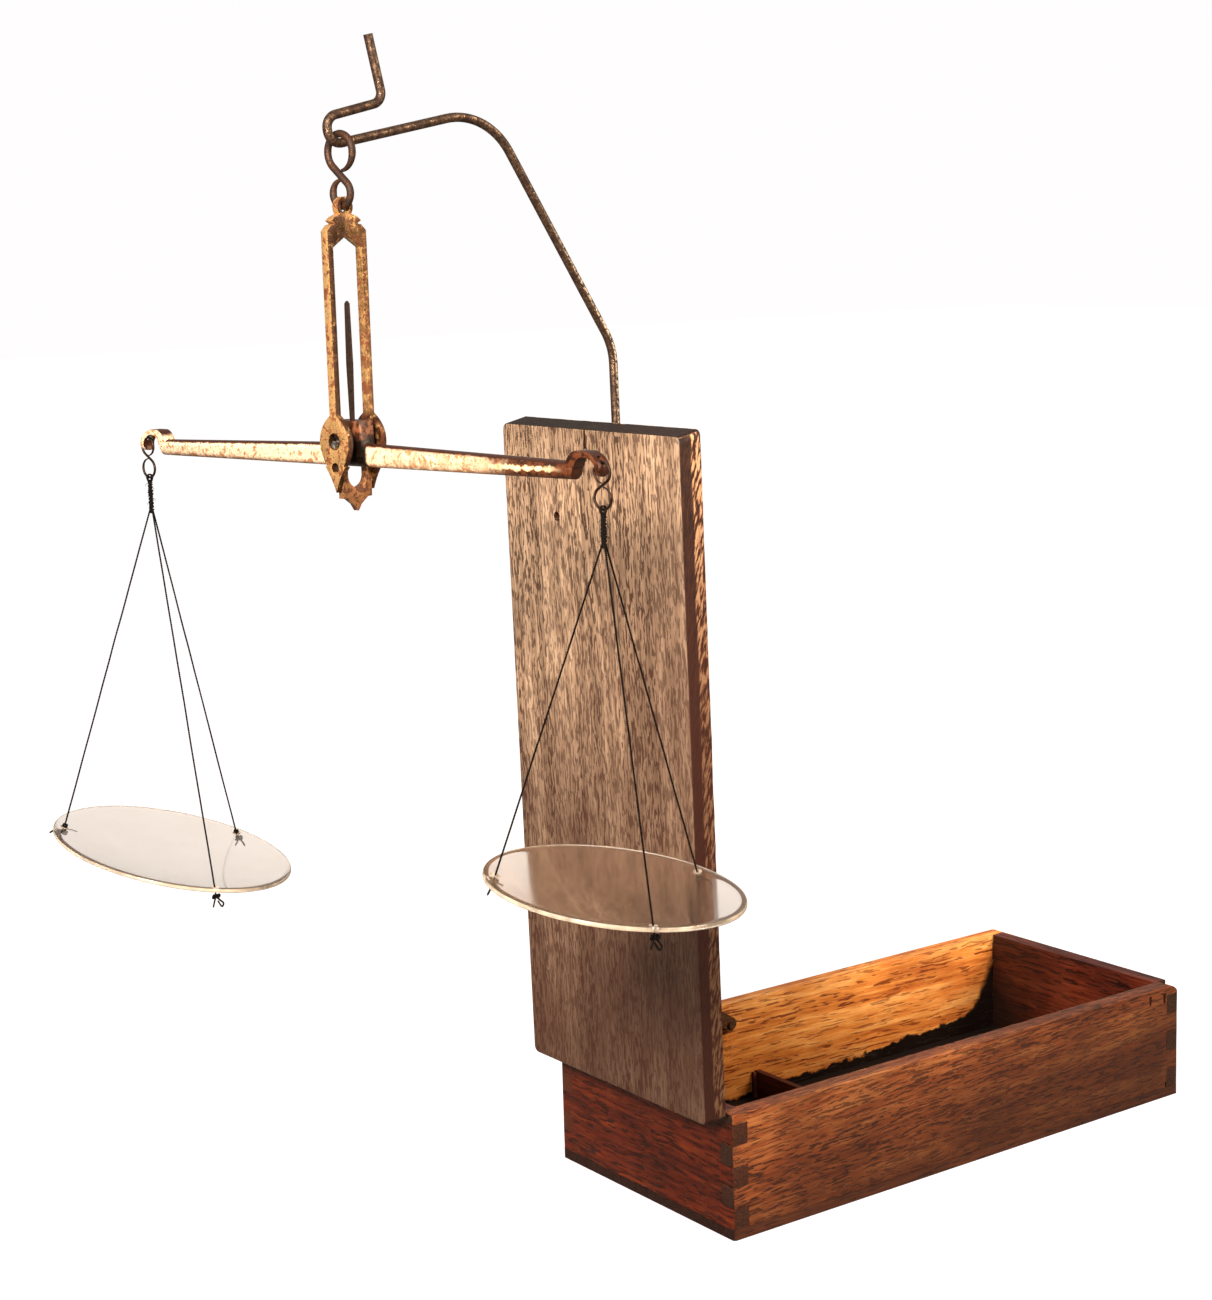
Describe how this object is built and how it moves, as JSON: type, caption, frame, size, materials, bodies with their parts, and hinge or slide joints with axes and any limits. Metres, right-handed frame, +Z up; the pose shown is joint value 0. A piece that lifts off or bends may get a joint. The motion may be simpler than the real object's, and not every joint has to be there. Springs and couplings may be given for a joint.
{
  "type": "hand balance in a wooden box",
  "caption": "Equal-arm hand balance with two glass pans on threads, hung from a bent wire on the upright hinged lid of a finger-jointed wooden box.",
  "frame": {"origin": "centre of the box's underside, where it stands on a surface", "axes": "+Z up, +X from the lid to the far end of the box, -Y is the front wall"},
  "size_m": [0.3322, 0.2425, 0.3412],
  "materials": {
    "box_wood": "oiled open-grained hardwood",
    "lid_wood": "weathered open-grained hardwood",
    "partition_wood": "dark stained wood",
    "lining": "glued black leathercloth",
    "brown_brass": "browned brass",
    "screw_steel": "dull steel",
    "arm_wire": "rusted drawn wire",
    "fork_brass": "mottled gilt brass",
    "beam_brass": "worn bright brass",
    "knife_steel": "blued steel",
    "hook_iron": "dark iron wire",
    "pan_glass": "clear glass, faint warm tint",
    "black_thread": "black waxed thread"
  },
  "bodies": {
    "box": {"front_wall": "box_wood", "back_wall": "box_wood", "hinge_end_wall": "box_wood", "far_end_wall": "box_wood", "bottom_board": "box_wood", "partition": "partition_wood", "partition_slips": "partition_wood", "near_floor_lining": "lining", "far_floor_lining": "lining", "hinge_1_box_leaf": "brown_brass", "hinge_2_box_leaf": "brown_brass", "hinge_1_pin": "screw_steel", "hinge_2_pin": "screw_steel", "hinge_box_screws": "screw_steel", "stay_pivot_nail": "brown_brass"},
    "lid": {"lid_board": "lid_wood", "hinge_1_lid_leaf": "brown_brass", "hinge_2_lid_leaf": "brown_brass", "hinge_lid_screws": "screw_steel", "stay_keeper": "brown_brass", "arm_socket": "brown_brass", "arm_socket_screws": "screw_steel", "arm_eye": "brown_brass"},
    "stay": {"lid_stay": "brown_brass"},
    "arm": {"wire_arm": "arm_wire"},
    "hanger": {"upper_s_hook": "brown_brass"},
    "fork": {"fork_frame": "fork_brass", "fork_bridge": "fork_brass", "bridge_rivets": "fork_brass"},
    "beam": {"beam": "beam_brass", "knife_edge": "knife_steel", "pointer": "knife_steel"},
    "left_hook": {"left_s_hook": "hook_iron"},
    "left_pan_set": {"left_whipping": "black_thread", "left_threads": "black_thread", "left_knots": "black_thread", "left_pan": "pan_glass"},
    "right_hook": {"right_s_hook": "hook_iron"},
    "right_pan_set": {"right_whipping": "black_thread", "right_threads": "black_thread", "right_knots": "black_thread", "right_pan": "pan_glass"}
  },
  "joints": [
    {"name": "lid_hinge", "type": "hinge", "parent": "box", "child": "lid", "pos_m": [-0.0972, 0, 0.038], "axis": [0, 1, 0], "range_deg": [0, 89.3]},
    {"name": "stay_swing", "type": "hinge", "parent": "box", "child": "stay", "pos_m": [-0.0322, 0.0358, 0.032], "axis": [0, 1, 0], "range_deg": [0, 149]},
    {"name": "arm_swivel", "type": "hinge", "parent": "lid", "child": "arm", "pos_m": [-0.09688, 0, 0.18693], "axis": [0.0187, 0, -0.9998], "range_deg": [-60, 60]},
    {"name": "hanger_swing", "type": "hinge", "parent": "arm", "child": "hanger", "pos_m": [-0.18424, 0, 0.31448], "axis": [-1, 0, 0], "range_deg": [-10, 10]},
    {"name": "fork_swing", "type": "hinge", "parent": "hanger", "child": "fork", "pos_m": [-0.18424, 0, 0.29688], "axis": [0.2045, -0.9789, 0], "range_deg": [-10, 10]},
    {"name": "beam_tilt", "type": "hinge", "parent": "fork", "child": "beam", "pos_m": [-0.18424, 0, 0.23378], "axis": [0.9789, 0.2045, 0], "range_deg": [-12, 12]},
    {"name": "left_hook_swing", "type": "hinge", "parent": "beam", "child": "left_hook", "pos_m": [-0.20247, 0.08727, 0.23283], "axis": [0.9789, 0.2045, 0], "range_deg": [-10, 10]},
    {"name": "left_pan_swing", "type": "hinge", "parent": "left_hook", "child": "left_pan_set", "pos_m": [-0.20247, 0.08727, 0.22193], "axis": [0.2045, -0.9789, 0], "range_deg": [-10, 10]},
    {"name": "right_hook_swing", "type": "hinge", "parent": "beam", "child": "right_hook", "pos_m": [-0.16601, -0.08727, 0.23283], "axis": [0.9789, 0.2045, 0], "range_deg": [-10, 10]},
    {"name": "right_pan_swing", "type": "hinge", "parent": "right_hook", "child": "right_pan_set", "pos_m": [-0.16601, -0.08727, 0.22193], "axis": [0.2045, -0.9789, 0], "range_deg": [-10, 10]}
  ],
  "couplings": [
    {"joint": "stay_swing", "follows": "lid_hinge", "ratio": 1.655}
  ]
}
